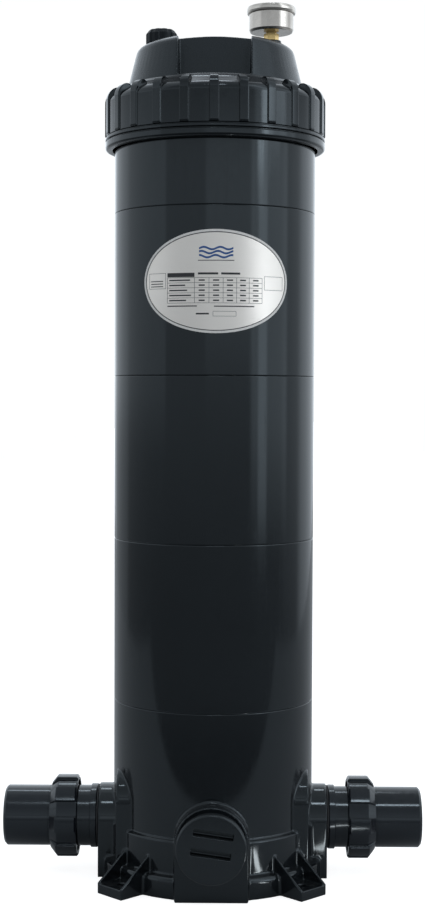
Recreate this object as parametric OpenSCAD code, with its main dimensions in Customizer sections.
// Cartridge filter housing: a moulded tank on a footed base, closed by a lid under a
// threaded lock ring, with a pleated cartridge inside and a pipe union on each port.
// Frame: +Z up with the floor at Z = 0, the tank's axis on Z, the ports along X and
// the drain facing -Y. All lengths are in millimetres.

/* [Tank] */
// Outside diameter of the tank wall
tank_od = 210; // [206:1:212]
// Thickness of the tank wall
tank_wall = 6; // [5:0.5:7]
// Height of the lowest seam above the floor
first_seam_z = 185.5; // [180:0.5:200]
// Height of each of the three plain tank segments
segment_h = 169.5; // [150:0.5:190]
// Height of the neck segment, from its seam to its rim
neck_h = 105.8; // [100:0.2:120]

/* [Base] */
// Radius of the flange that rests on the floor
flange_r = 118; // [116:1:122]
// Height of that flange
flange_h = 22; // [18:1:26]
// Radius of the drum above the flange
drum_r = 109; // [107:0.5:111]
// Height of the drum's top, where the tank wall begins
drum_top_z = 57; // [48:1:60]
// Thickness of the base's floor
floor_t = 14; // [10:1:18]
// Distance from the axis to the outer edge of a foot
foot_reach = 145.5; // [143:0.5:150]
// Width of a foot
foot_w = 37; // [34:1:44]
// Thickness of a foot's pad
foot_t = 10; // [8:1:12]
// Radius of the circle of the four floor bolts
bolt_circle_r = 129; // [127:0.5:131]
// Radius of a floor bolt's hole
bolt_hole_r = 4.5; // [3.5:0.5:5.5]

/* [Ports] */
// Height of the port axis above the floor
port_z = 57; // [54:1:60]
// Radius of the water passage through the ports
port_bore_r = 25; // [22:0.5:26]
// Half width of a port block
port_block_r = 34.6; // [34:0.2:36]
// Distance from the axis to a port block's outer face
port_face_x = 120; // [118:1:122]
// Outside radius of the pipe tail
tail_r = 31.5; // [30:0.5:32]
// Distance from the axis to the end of a tail
tail_end_x = 220; // [210:1:240]
// Radius over the lobes of a union nut
union_nut_r = 43; // [42:0.5:46]

/* [Drain] */
// Height of the drain axis above the floor
drain_z = 58.5; // [57:0.5:60]
// Distance from the axis to the drain block's face
drain_face_y = 121; // [119:1:123]
// Radius of the drain plug's disc
drain_disc_r = 35.5; // [34:0.5:37]
// Tilt of the drain plug's finger slots
drain_slot_tilt = 8; // [0:1:45]

/* [Lock ring] */
// Number of grip ribs on the ring
ring_ribs = 24; // [16:2:28]
// Radius over the ribs
ring_rib_r = 115.5; // [114.5:0.5:118]
// Radius of the wall between the ribs
ring_wall_r = 114; // [112.5:0.5:114.5]
// Width of a rib
ring_rib_w = 9.4; // [7:0.2:11]

/* [Lid] */
// Half width of a finger pocket
pocket_half_w = 37; // [30:1:40]
// Half thickness of the grip bar between the pockets
grip_half_t = 27; // [22:1:30]
// Distance of the air valve from the axis, on -X
valve_x = 56.5; // [54:0.5:60]
// Distance of the gauge from the axis, on +X
gauge_x = 58.5; // [54:0.5:60]

/* [Gauge] */
// Radius over the bezel
bezel_r = 25.7; // [24.5:0.1:27]
// Radius of the case
gauge_case_r = 23.3; // [22.5:0.1:24]

/* [Cartridge] */
// Radius over the pleats
media_r = 89; // [84:0.5:91]
// Number of pleats
pleats = 72; // [48:4:84]
// Outside radius of the perforated core
core_r = 44; // [42:0.5:46]

/* [Hidden] */

// Small steps between pieces
fit = 0.1;      // radial play of a plugged joint
seat = 0.2;     // play between faces that a joint parts
past = 1;       // how far a cutter runs past a face

black = "#26292b";
seal_black = "#151515";
tank_ir = tank_od / 2 - tank_wall;
tank_or = tank_od / 2;

// Seams between tank segments: a shallow V groove outside and a lap inside the wall
seam_v = 0.8;
lap_h = 6;
lap_t = tank_wall / 2;
neck_z = first_seam_z + 3 * segment_h;
rim_z = neck_z + neck_h;

// Everything on the lid is measured up from its seat on the neck
lid_z = rim_z + seat;

// Thread of the lock ring, as plain rings at one pitch
ring_pitch = 8;
neck_thread_r = 107;
ring_thread_r = neck_thread_r + 0.4;
ring_bore_r = 109.2;
ring_bottom = -40;

// Lid, up from its seat
lid_flange_r = 106;
lid_flange_t = 7.7;
lid_skirt_r = tank_ir - 1.6;
lid_skirt_in = 88;
lid_skirt_d = 16;
lid_wall = 5;
lid_top = 76.6;
lid_crown_in = 71;
crown_r = 4;
pocket_floor = 26;
boss_r = 11.5;
boss_bottom = 57.5;
boss_top = 76;
valve_boss_top = 72;
valve_face_r = 17;
insert_r = 6.5;

// Seals: section radius of the large and the small rings
seal_r = 2.65;
small_seal_r = 1.5;

// Unions, as distances from the tank's axis
adaptor_root_x = port_face_x - 12;
bead_x0 = port_face_x + 2;
bead_x1 = port_face_x + 9;
nut_x0 = 142.6;
nut_x1 = 165;
union_face_x = 158;
tail_flange_x1 = 163.8;
tail_shoulder_x = 173;
union_thread_r = 37;

// Drain, as distances from the tank's axis
drain_bore_r = 20;
plug_neck_y = 133;
plug_face_y = 142;
slot_l = 40;
slot_rise = 5.7;
slot_h = 7;
slot_gap = 12.5;
slot_d = 10;

// Cartridge heights
hub_seat_z = 112;
cap_t = 12;
media_z0 = hub_seat_z + seat + cap_t;
media_z1 = lid_z - 32;
cap_r = media_r + 1;
hub_r = 38;
hub_top_z = 136;

// Points of an arc about a centre, from one angle to another
function arc(cx, cy, r, a0, a1, steps) =
    [for (i = [0:steps]) let (a = a0 + (a1 - a0) * i / steps) [cx + r * cos(a), cy + r * sin(a)]];

// Lays a shape that was drawn along +Z out along +X at the port's height
module along_port() {
    translate([0, 0, port_z]) rotate([0, 90, 0]) children();
}

// Lays a shape that was drawn along +Z out along -Y at the drain's height
module along_drain() {
    translate([0, 0, drain_z]) rotate([90, 0, 0]) children();
}

// A seal of round section that lies flat about Z
module seal_ring(centre_r, section_r) {
    color(seal_black)
        rotate_extrude($fn = 96)
            translate([centre_r, 0]) circle(r = section_r, $fn = 24);
}

// A ring of round-cornered bars about Z, for grips and lobes
module bars(count, bar_w, r_in, r_out, z0, z1) {
    for (i = [0:count - 1])
        rotate(i * 360 / count)
            translate([r_in, -bar_w / 2, z0])
                cube([r_out - r_in, bar_w, z1 - z0]);
}

// ---------- Tank ----------

// Wall of a plain segment, with a lap socket below and a lap spigot above
module segment_wall(z0, z1, spigot = true) {
    top_lap = spigot ? lap_h : 0;
    rotate_extrude($fn = 128)
        polygon([
            [tank_ir + lap_t, z0 + lap_h],
            [tank_ir + lap_t, z0],
            [tank_or - seam_v, z0],
            [tank_or, z0 + seam_v],
            [tank_or, z1 - seam_v],
            [tank_or - seam_v, z1],
            [tank_ir + lap_t, z1],
            [tank_ir + lap_t, z1 + top_lap],
            [tank_ir, z1 + top_lap],
            [tank_ir, z0 + lap_h]]);
}

module body_segment(index) {
    z0 = first_seam_z + index * segment_h;
    color(black) segment_wall(z0, z0 + segment_h);
}

// Flat-faced arched block on the tank: outline in the plane across its axis
module arch_outline(axis_z, r) {
    polygon(concat([[-r, 0]], [[r, 0]], arc(0, axis_z, r, 0, 180, 28)));
}

// Raised pad behind a port block, with large top corners
pad_half_w = 64;
pad_top_z = 115;
pad_corner = 30;
pad_face_x = 99;
module pad_outline() {
    polygon(concat([[-pad_half_w, 2], [pad_half_w, 2]],
        arc(pad_half_w - pad_corner, pad_top_z - pad_corner, pad_corner, 0, 90, 10),
        arc(pad_corner - pad_half_w, pad_top_z - pad_corner, pad_corner, 90, 180, 10)));
}

// A port block with its pad, on +X
module port_block() {
    block_in = 60;
    translate([block_in, 0, 0]) rotate([90, 0, 90])
        linear_extrude(port_face_x - block_in) arch_outline(port_z, port_block_r);
    translate([block_in, 0, 0]) rotate([90, 0, 90])
        linear_extrude(pad_face_x - block_in) pad_outline();
}

module drain_block() {
    block_in = 60;
    translate([0, -block_in, 0]) rotate([90, 0, 0])
        linear_extrude(drain_face_y - block_in) arch_outline(drain_z, drain_disc_r + 1.8);
}

// One bolt-down foot on +X, with a gusset along each side
gusset_t = 2.8;
gusset_top_z = 39;
module foot() {
    foot_in = 100;
    translate([foot_in, -foot_w / 2, 0]) cube([foot_reach - foot_in, foot_w, foot_t]);
    for (side = [-1, 1])
        translate([0, side * (foot_w - gusset_t) / 2 + gusset_t / 2, 0])
            rotate([90, 0, 0])
                linear_extrude(gusset_t)
                    polygon([[foot_in, 1], [foot_reach, 1], [foot_reach, foot_t + 1],
                        [drum_r - 1, gusset_top_z], [foot_in, gusset_top_z]]);
}

module base() {
    round_r = 5;
    color(black) difference() {
        union() {
            rotate_extrude($fn = 128)
                polygon(concat(
                    [[0, 0], [flange_r, 0]],
                    arc(flange_r - round_r, flange_h - round_r, round_r, 0, 90, 6),
                    [[drum_r, flange_h], [drum_r, drum_top_z - 1.2], [drum_r - 1.2, drum_top_z],
                        [tank_or, drum_top_z], [tank_or, first_seam_z - seam_v],
                        [tank_or - seam_v, first_seam_z], [tank_ir + lap_t, first_seam_z],
                        [tank_ir + lap_t, first_seam_z + lap_h],
                        [0, first_seam_z + lap_h]]));
            port_block();
            mirror([1, 0, 0]) port_block();
            drain_block();
            for (a = [45:90:315]) rotate(a) foot();
        }
        translate([0, 0, floor_t]) cylinder(r = tank_ir, h = first_seam_z, $fn = 128);
        for (side = [0, 1]) mirror([side, 0, 0]) along_port() {
            cylinder(r = port_bore_r, h = port_face_x + past, $fn = 64);
            translate([0, 0, adaptor_root_x])
                cylinder(r = port_bore_r + 5, h = port_face_x, $fn = 64);
        }
        along_drain() cylinder(r = drain_bore_r, h = drain_face_y + past, $fn = 64);
        for (a = [45:90:315]) rotate(a)
            translate([bolt_circle_r, 0, -past])
                cylinder(r = bolt_hole_r, h = foot_t + 2 * past, $fn = 32);
    }
}

// Top segment: the wall, a thickened thread zone and the rim under the lid
module neck() {
    thread_z0 = rim_z - 32;
    root_r = tank_or + 0.2;
    color(black) union() {
        rotate_extrude($fn = 128)
            polygon([
                [tank_ir + lap_t, neck_z + lap_h],
                [tank_ir + lap_t, neck_z],
                [tank_or - seam_v, neck_z],
                [tank_or, neck_z + seam_v],
                [tank_or, thread_z0 - 6],
                [root_r, thread_z0 - 6],
                [root_r, rim_z - 1],
                [root_r - 1, rim_z],
                [tank_ir + 1, rim_z],
                [tank_ir, rim_z - 1],
                [tank_ir, neck_z + lap_h]]);
        for (i = [0:3]) rotate_extrude($fn = 128)
            translate([0, thread_z0 + i * ring_pitch])
                polygon([[root_r - 1, 0], [neck_thread_r, 1.6], [neck_thread_r, 2.8],
                    [root_r - 1, 4.4]]);
    }
}

// Elbow from the outlet port to the seat of the cartridge
hub_spigot_r = port_bore_r - fit;
hub_bore_r = 21;
hub_tube_r = 30;
hub_tube_x = 92;
hub_groove_x = 101;
module outlet_hub() {
    hub_stem_r = 33;
    color("#3a3d40") difference() {
        union() {
            translate([0, 0, floor_t]) cylinder(r = hub_stem_r, h = hub_seat_z - floor_t, $fn = 64);
            translate([0, 0, hub_seat_z - 8]) cylinder(r = 62, h = 8, $fn = 96);
            translate([0, 0, hub_seat_z - 1])
                cylinder(r = hub_r - fit, h = hub_top_z - hub_seat_z + 1, $fn = 64);
            along_port() cylinder(r = hub_tube_r, h = hub_tube_x, $fn = 64);
            along_port() cylinder(r = hub_spigot_r, h = adaptor_root_x - 1, $fn = 64);
        }
        translate([0, 0, port_z - hub_bore_r - 4])
            cylinder(r = 27, h = hub_top_z, $fn = 64);
        along_port() cylinder(r = hub_bore_r, h = port_face_x, $fn = 64);
        along_port() translate([0, 0, hub_groove_x]) difference() {
            cylinder(r = port_bore_r + past, h = 2 * small_seal_r + 0.4, $fn = 64);
            translate([0, 0, -past])
                cylinder(r = port_bore_r - 2 * small_seal_r - 0.1, h = 10, $fn = 64);
        }
    }
}

module hub_o_ring() {
    along_port()
        translate([0, 0, hub_groove_x + small_seal_r + 0.2])
            seal_ring(port_bore_r - small_seal_r - 0.05, small_seal_r - 0.05);
}

// Oval plate wrapped on the front of the tank
label_w = 158;
label_h = 103;
label_turn = 1.4;
label_z = 618;
label_t = 0.5;
module label_plate() {
    steps = 72;
    outline = [for (i = [0:steps - 1])
        let (a = i * 360 / steps, bend = label_w / 2 * cos(a) / tank_or * 180 / PI)
            [tank_or * sin(bend), label_h / 2 * sin(a)]];
    color("#c9ccce") rotate(label_turn) intersection() {
        difference() {
            translate([0, 0, label_z - label_h]) cylinder(r = tank_or + label_t,
                h = 2 * label_h, $fn = 128);
            translate([0, 0, label_z - label_h - past])
                cylinder(r = tank_or, h = 2 * label_h + 2 * past, $fn = 128);
        }
        translate([0, -tank_or / 2, label_z]) rotate([90, 0, 0])
            linear_extrude(tank_or) polygon(outline);
    }
}

// ---------- Lock ring ----------

module lock_ring() {
    ridge_r = ring_rib_r - 0.4;
    groove_r = ring_rib_r - 2.7;
    shoulder_in = 92.3;
    under = lid_flange_t + seat;
    color(black) translate([0, 0, lid_z]) union() {
        rotate_extrude($fn = 128)
            polygon([
                [ring_thread_r, ring_bottom],
                [ridge_r - 4, ring_bottom],
                [ridge_r - 1.2, ring_bottom + 1.2],
                [ridge_r, ring_bottom + 3.4],
                [ridge_r, ring_bottom + 7.7],
                [groove_r, ring_bottom + 8.4],
                [groove_r, ring_bottom + 9.4],
                [ridge_r, ring_bottom + 10.1],
                [ridge_r, ring_bottom + 12.2],
                [groove_r, ring_bottom + 12.9],
                [groove_r, ring_bottom + 13.9],
                [ring_wall_r, ring_bottom + 14.6],
                [ring_wall_r, 8.5],
                [ring_wall_r - 1.6, 12],
                [ring_wall_r - 5, 15.5],
                [100, 20],
                [shoulder_in + 1.5, 25.4],
                [shoulder_in, 25.4],
                [shoulder_in, under],
                [ring_bore_r, under],
                [ring_bore_r, ring_bottom + 6],
                [ring_thread_r, ring_bottom + 4]]);
        for (i = [0:2]) rotate_extrude($fn = 128)
            translate([0, -27.5 + i * ring_pitch])
                polygon([[ring_bore_r + 1, 0], [ring_bore_r + 1, 4.4], [ring_thread_r, 2.8],
                    [ring_thread_r, 1.6]]);
        intersection() {
            rotate_extrude($fn = 128)
                polygon([
                    [ring_wall_r - 1, ring_bottom + 14.5],
                    [ring_rib_r - 1, ring_bottom + 14.5],
                    [ring_rib_r, ring_bottom + 16],
                    [ring_rib_r, 11],
                    [ring_rib_r - 1, 15],
                    [ring_rib_r - 3.2, 18.4],
                    [ring_rib_r - 6.5, 21],
                    [104.5, 22],
                    [101.5, 21.4],
                    [100, 16],
                    [ring_wall_r - 1, 8]]);
            bars(ring_ribs, ring_rib_w, 95, ring_rib_r + 5, ring_bottom + 10, 30);
        }
    }
}

// ---------- Lid ----------

// Outline of the lid's cone and domed top, from its lower edge up to the axis
cone_outline = [[91.6, lid_flange_t], [91.4, 26], [89.8, 32], [82.8, 60], [81.6, 62.8],
    [79, 65.3], [75, 67.3], [69, 69.4], [60, 71.3], [44, 73.3], [27, 75.4], [12, 76.3],
    [crown_r, lid_top], [0, lid_top]];

// Blocks that clear, or with a margin back, the two finger pockets
module pockets(margin) {
    for (side = [0, 1]) mirror([0, side, 0])
        translate([-pocket_half_w - margin, -120, pocket_floor - margin])
            cube([2 * (pocket_half_w + margin), 120 - grip_half_t + margin, 80]);
}

module lid() {
    color(black) translate([0, 0, lid_z]) difference() {
        union() {
            difference() {
                rotate_extrude($fn = 128)
                    polygon(concat([
                        [0, -lid_skirt_d],
                        [lid_skirt_r - 1, -lid_skirt_d],
                        [lid_skirt_r, -lid_skirt_d + 1],
                        [lid_skirt_r, 0],
                        [lid_flange_r, 0],
                        [lid_flange_r, lid_flange_t]],
                        cone_outline));
                pockets(0);
                difference() {
                    rotate_extrude($fn = 128)
                        polygon([
                            [0, -lid_skirt_d - past],
                            [lid_skirt_in, -lid_skirt_d - past],
                            [lid_skirt_in, 6],
                            [86, 14],
                            [85, 31],
                            [78, 58],
                            [75, 61],
                            [70, 63.4],
                            [44, 68],
                            [crown_r, lid_crown_in],
                            [0, lid_crown_in]]);
                    pockets(lid_wall - 1);
                }
            }
            translate([-valve_x, 0, boss_bottom])
                cylinder(r = boss_r, h = valve_boss_top - boss_bottom + 1, $fn = 48);
            translate([gauge_x, 0, boss_bottom])
                cylinder(r = boss_r - 1, h = boss_top - boss_bottom, $fn = 48);
        }
        translate([-valve_x, 0, valve_boss_top])
            cylinder(r = valve_face_r, h = lid_top - valve_boss_top + 1, $fn = 96);
        for (x = [-valve_x, gauge_x])
            translate([x, 0, boss_bottom - past])
                cylinder(r = insert_r, h = boss_top - boss_bottom + 2 * past, $fn = 48);
        translate([0, 0, -10 - seal_r - 0.2]) difference() {
            cylinder(r = tank_ir + past, h = 2 * seal_r + 0.4, $fn = 128);
            translate([0, 0, -past])
                cylinder(r = tank_ir - seat - 2 * seal_r - 0.1, h = 10, $fn = 128);
        }
    }
}

module lid_o_ring() {
    translate([0, 0, lid_z - 10]) seal_ring(tank_ir - seat - seal_r, seal_r);
}

// Air relief valve: threaded insert, hand knob with its stem, and a seal on the stem
stem_r = 3;
module air_valve_seat() {
    color("#b8924a") translate([-valve_x, 0, lid_z]) difference() {
        union() {
            translate([0, 0, valve_boss_top]) cylinder(r = 9, h = 1.2, $fn = 6);
            translate([0, 0, boss_bottom - 2])
                cylinder(r = insert_r - 0.05, h = valve_boss_top - boss_bottom + 3, $fn = 48);
        }
        translate([0, 0, boss_bottom - 3]) cylinder(r = stem_r + 0.25, h = 30, $fn = 32);
        translate([0, 0, valve_boss_top - 5]) cylinder(r = 5, h = 20, $fn = 32);
    }
}

knob_z0 = 72.4;
knob_z1 = 87;
knob_r = 16.3;
module air_valve_knob() {
    color(black) translate([-valve_x, 0, lid_z]) union() {
        rotate_extrude($fn = 64)
            polygon([
                [0, boss_bottom],
                [1.2, boss_bottom],
                [stem_r, boss_bottom + 3],
                [stem_r, knob_z0 + 1.2],
                [knob_r - 6, knob_z0 + 1.2],
                [knob_r - 5.4, knob_z0],
                [knob_r - 3, knob_z0],
                [knob_r - 2.2, knob_z0 + 1],
                [knob_r - 2.2, knob_z1 - 3.6],
                [knob_r - 4.6, knob_z1],
                [knob_r - 7, knob_z1],
                [knob_r - 8, knob_z1 - 1],
                [0, knob_z1 - 1]]);
        intersection() {
            rotate_extrude($fn = 64)
                polygon([
                    [knob_r - 4, knob_z0 + 0.4],
                    [knob_r - 0.6, knob_z0 + 0.4],
                    [knob_r, knob_z0 + 1],
                    [knob_r, knob_z1 - 4.4],
                    [knob_r - 3, knob_z1 - 0.6],
                    [knob_r - 5, knob_z1 - 0.6]]);
            bars(10, 5, 6, knob_r + 4, knob_z0 - 1, knob_z1 + 1);
        }
    }
}

module air_valve_o_ring() {
    translate([-valve_x, 0, lid_z + valve_boss_top - 3]) seal_ring(stem_r + 1.0, 0.85);
}

// ---------- Gauge ----------

case_bottom = 84.6;
case_rim = 105.5;
hex_af = 13.5;
hex_h = 7.4;
gauge_neck_r = 5.4;
module at_gauge() {
    translate([gauge_x, 0, lid_z]) children();
}

module gauge_stem() {
    color("#b8924a") at_gauge() union() {
        translate([0, 0, boss_bottom - 2])
            cylinder(r = insert_r - 0.05, h = boss_top - boss_bottom + 2.5, $fn = 48);
        translate([0, 0, boss_top]) cylinder(d = hex_af / cos(30), h = hex_h, $fn = 6);
        translate([0, 0, boss_top + hex_h - past])
            cylinder(r = gauge_neck_r, h = case_bottom + 4 - boss_top - hex_h + past, $fn = 48);
    }
}

module gauge_case() {
    color("#c3c6c8") at_gauge() difference() {
        rotate_extrude($fn = 96)
            polygon([
                [0, case_bottom],
                [gauge_case_r - 3, case_bottom],
                [gauge_case_r - 1, case_bottom + 0.7],
                [gauge_case_r, case_bottom + 2.6],
                [gauge_case_r, case_rim],
                [gauge_case_r - 1.2, case_rim],
                [gauge_case_r - 1.2, case_bottom + 2.8],
                [gauge_case_r - 2, case_bottom + 1.8],
                [gauge_case_r - 3.4, case_bottom + 1.4],
                [0, case_bottom + 1.4]]);
        translate([0, 0, case_bottom - past]) cylinder(r = gauge_neck_r, h = 4, $fn = 48);
    }
}

module gauge_bezel() {
    color("#d0d2d4") at_gauge() rotate_extrude($fn = 96)
        polygon([
            [gauge_case_r, 103.6],
            [bezel_r - 0.8, 103.6],
            [bezel_r, 104.4],
            [bezel_r, 108.6],
            [bezel_r - 0.6, 110.2],
            [bezel_r - 1.8, 111],
            [bezel_r - 3.4, 110.6],
            [bezel_r - 4, 109.2],
            [gauge_case_r - 1.4, 108],
            [gauge_case_r, 107.8]]);
}

module gauge_lens() {
    color("#dfe8ea") at_gauge()
        translate([0, 0, case_rim]) cylinder(r = gauge_case_r - 0.2, h = 2.2, $fn = 96);
}

dial_z = 100.6;
module gauge_dial() {
    color("#f2f2ee") at_gauge() difference() {
        translate([0, 0, dial_z]) cylinder(r = gauge_case_r - 1.4, h = 0.8, $fn = 96);
        translate([0, 0, dial_z - past]) cylinder(r = 1.2, h = 3, $fn = 24);
    }
}

// The pointer's rest direction is the dial's zero, down and to the left
arbor_r = 0.9;
module gauge_pointer() {
    color("#1a1a1a") at_gauge() rotate(225) union() {
        translate([0, 0, 95.2]) cylinder(r = arbor_r, h = 8.8, $fn = 24);
        translate([0, 0, 102.4]) cylinder(r = 2.6, h = 1.4, $fn = 32);
        translate([0, 0, 102.6]) linear_extrude(0.8)
            polygon([[-6.5, -1.3], [-6.5, 1.3], [3, 0.9], [17.5, 0.25], [17.5, -0.25], [3, -0.9]]);
    }
}

module bourdon_tube() {
    color("#b8924a") at_gauge() translate([0, 0, 97])
        rotate(-60) rotate_extrude(angle = 255, $fn = 72)
            translate([16.4, 0]) circle(r = 1.9, $fn = 24);
}

// Two plates on pillars that carry the pointer's arbor
module gauge_movement() {
    color("#a98545") at_gauge() difference() {
        union() {
            for (z = [93.4, 98.6])
                translate([-9, -6, z]) cube([18, 12, 1]);
            for (x = [-7, 7])
                translate([x, 0, case_bottom + 1.6])
                    cylinder(r = 1.4, h = 99 - case_bottom - 1.6, $fn = 24);
        }
        translate([0, 0, 92]) cylinder(r = arbor_r + 0.05, h = 12, $fn = 24);
    }
}

// ---------- Cartridge ----------

module cartridge_media() {
    fold_r = 58;
    color("#e9edf0") difference() {
        translate([0, 0, media_z0]) linear_extrude(media_z1 - media_z0)
            polygon([for (i = [0:2 * pleats - 1])
                let (r = i % 2 == 0 ? media_r : fold_r, a = i * 180 / pleats)
                    [r * cos(a), r * sin(a)]]);
        translate([0, 0, media_z0 - past]) cylinder(r = core_r, h = media_z1, $fn = 96);
    }
}

module cartridge_core() {
    core_wall = 3;
    rows = 12;
    slot_w = 12;
    row_h = (media_z1 - media_z0) / rows;
    color("#d8dadb") difference() {
        translate([0, 0, media_z0]) cylinder(r = core_r, h = media_z1 - media_z0, $fn = 96);
        translate([0, 0, media_z0 - past])
            cylinder(r = core_r - core_wall, h = media_z1, $fn = 96);
        for (row = [0:rows - 1], turn = [0:3])
            rotate(turn * 45 + (row % 2) * 22.5)
                translate([-60, -slot_w / 2, media_z0 + (row + 0.2) * row_h])
                    cube([120, slot_w, row_h * 0.6]);
    }
}

// Lower end cap, which slips over the hub
module cartridge_bottom_cap() {
    color("#2f6fa8") translate([0, 0, hub_seat_z + seat]) difference() {
        cylinder(r = cap_r, h = cap_t, $fn = 96);
        translate([0, 0, -past]) cylinder(r = hub_r + fit, h = cap_t + 2 * past, $fn = 96);
    }
}

// Upper end cap with a lifting handle
module cartridge_top_cap() {
    handle_r = 34;
    handle_t = 12;
    color("#2f6fa8") translate([0, 0, media_z1]) union() {
        cylinder(r = cap_r, h = cap_t, $fn = 96);
        translate([0, handle_t / 2, cap_t - past]) rotate([90, 0, 0])
            linear_extrude(handle_t) difference() {
                polygon(concat([[-handle_r, 0]], [[handle_r, 0]],
                    arc(0, 3, handle_r, 0, 180, 24)));
                polygon(concat([[-handle_r + 8, past]], [[handle_r - 8, past]],
                    arc(0, 3, handle_r - 8, 0, 180, 24)));
            }
    }
}

// ---------- Drain ----------

module drain_plug() {
    color(black) along_drain() difference() {
        rotate_extrude($fn = 96)
            polygon([
                [0, 100],
                [drain_bore_r - 1.6, 100],
                [drain_bore_r - 0.3, 101.3],
                [drain_bore_r - 0.3, drain_face_y - 4],
                [drain_bore_r - 3, drain_face_y - 3.4],
                [drain_bore_r - 3, drain_face_y + seat],
                [31.5, drain_face_y + seat],
                [31.5, plug_neck_y],
                [drain_disc_r - 1, plug_neck_y],
                [drain_disc_r, plug_neck_y + 1],
                [drain_disc_r, plug_face_y - 1.6],
                [drain_disc_r - 1.6, plug_face_y],
                [0, plug_face_y]]);
        rotate(-drain_slot_tilt) for (side = [-1, 1])
            translate([-slot_l / 2, slot_rise + side * (slot_gap + slot_h) / 2 - slot_h / 2,
                plug_face_y - slot_d])
                cube([slot_l, slot_h, slot_d + past]);
    }
}

module drain_o_ring() {
    along_drain() translate([0, 0, drain_face_y - 1.5])
        seal_ring(drain_bore_r - 3 + 1.45, 1.35);
}

// ---------- Unions ----------

module port_o_ring() {
    along_port() translate([0, 0, port_face_x + 1]) seal_ring(32, 0.95);
}

module union_adaptor() {
    color(black) along_port() rotate_extrude($fn = 96)
        polygon([
            [port_bore_r, adaptor_root_x],
            [port_bore_r + 5, adaptor_root_x],
            [port_bore_r + 5, bead_x0],
            [32.6, bead_x0],
            [33.4, bead_x0 + 1.5],
            [33.4, bead_x1 - 1.5],
            [32.6, bead_x1],
            [31.7, bead_x1],
            [31.7, nut_x0 + 1],
            [union_thread_r - 1.4, nut_x0 + 3],
            [union_thread_r, nut_x0 + 5],
            [union_thread_r, nut_x0 + 6],
            [union_thread_r - 1.4, nut_x0 + 7.4],
            [union_thread_r - 1.4, nut_x0 + 9],
            [union_thread_r, nut_x0 + 10.4],
            [union_thread_r, nut_x0 + 11.4],
            [union_thread_r - 1.4, nut_x0 + 12.8],
            [union_thread_r - 1.4, union_face_x],
            [32.6, union_face_x],
            [32.6, union_face_x - 3.4],
            [28.8, union_face_x - 3.4],
            [28.8, union_face_x],
            [port_bore_r, union_face_x]]);
}

module union_o_ring() {
    along_port() translate([0, 0, union_face_x - 1.72]) seal_ring(30.7, 1.65);
}

module union_tail() {
    socket_r = port_bore_r;
    color(black) along_port() rotate_extrude($fn = 96)
        polygon([
            [socket_r - 2, union_face_x],
            [union_thread_r - 1.6, union_face_x],
            [union_thread_r - 1.6, tail_flange_x1],
            [tail_r - 0.4, tail_flange_x1],
            [tail_r - 0.4, tail_shoulder_x],
            [tail_r, tail_shoulder_x],
            [tail_r, tail_end_x - 2.5],
            [tail_r - 2.5, tail_end_x],
            [socket_r + 1, tail_end_x],
            [socket_r, tail_end_x - 1],
            [socket_r, tail_end_x - 38],
            [socket_r - 2, tail_end_x - 38]]);
}

module union_nut() {
    lobes = 8;
    between_r = union_nut_r - 2.6;
    lobe_w = 2 * union_nut_r * sin(90 / lobes);
    cone_x = 171.5;
    hole_r = tail_r + 0.2;
    color(black) along_port() union() {
        rotate_extrude($fn = 96)
            polygon([
                [union_thread_r + 0.4, nut_x0],
                [between_r - 0.8, nut_x0],
                [between_r, nut_x0 + 0.8],
                [between_r, nut_x1 - 1.5],
                [hole_r + 1.6, cone_x],
                [hole_r, cone_x],
                [hole_r, tail_flange_x1 + 0.3],
                [union_thread_r + 1.4, tail_flange_x1 + 0.3],
                [union_thread_r + 1.4, nut_x0 + 2],
                [union_thread_r + 0.4, nut_x0 + 1]]);
        intersection() {
            rotate_extrude($fn = 96)
                polygon([
                    [between_r - 1.4, nut_x0 + 0.6],
                    [union_nut_r - 1, nut_x0 + 0.6],
                    [union_nut_r, nut_x0 + 1.6],
                    [union_nut_r, nut_x1 - 1.2],
                    [union_nut_r - 1.2, nut_x1],
                    [between_r - 1.4, nut_x1 - 0.4]]);
            bars(lobes, lobe_w, 30, union_nut_r + 5, nut_x0 - 1, nut_x1 + 2);
        }
    }
}

module on_left() {
    mirror([1, 0, 0]) children();
}

base();
body_segment(0);  // body_segment_1
body_segment(1);  // body_segment_2
body_segment(2);  // body_segment_3
neck();
outlet_hub();
hub_o_ring();
label_plate();
lock_ring();
lid();
lid_o_ring();
air_valve_seat();
air_valve_knob();
air_valve_o_ring();
gauge_stem();
gauge_case();
gauge_bezel();
gauge_lens();
gauge_dial();
gauge_pointer();
bourdon_tube();
gauge_movement();
cartridge_media();
cartridge_core();
cartridge_top_cap();
cartridge_bottom_cap();
drain_plug();
drain_o_ring();
on_left() port_o_ring();  // left_port_o_ring
on_left() union_adaptor();  // left_union_adaptor
on_left() union_o_ring();  // left_union_o_ring
on_left() union_nut();  // left_union_nut
on_left() union_tail();  // left_union_tail
port_o_ring();  // right_port_o_ring
union_adaptor();  // right_union_adaptor
union_o_ring();  // right_union_o_ring
union_nut();  // right_union_nut
union_tail();  // right_union_tail
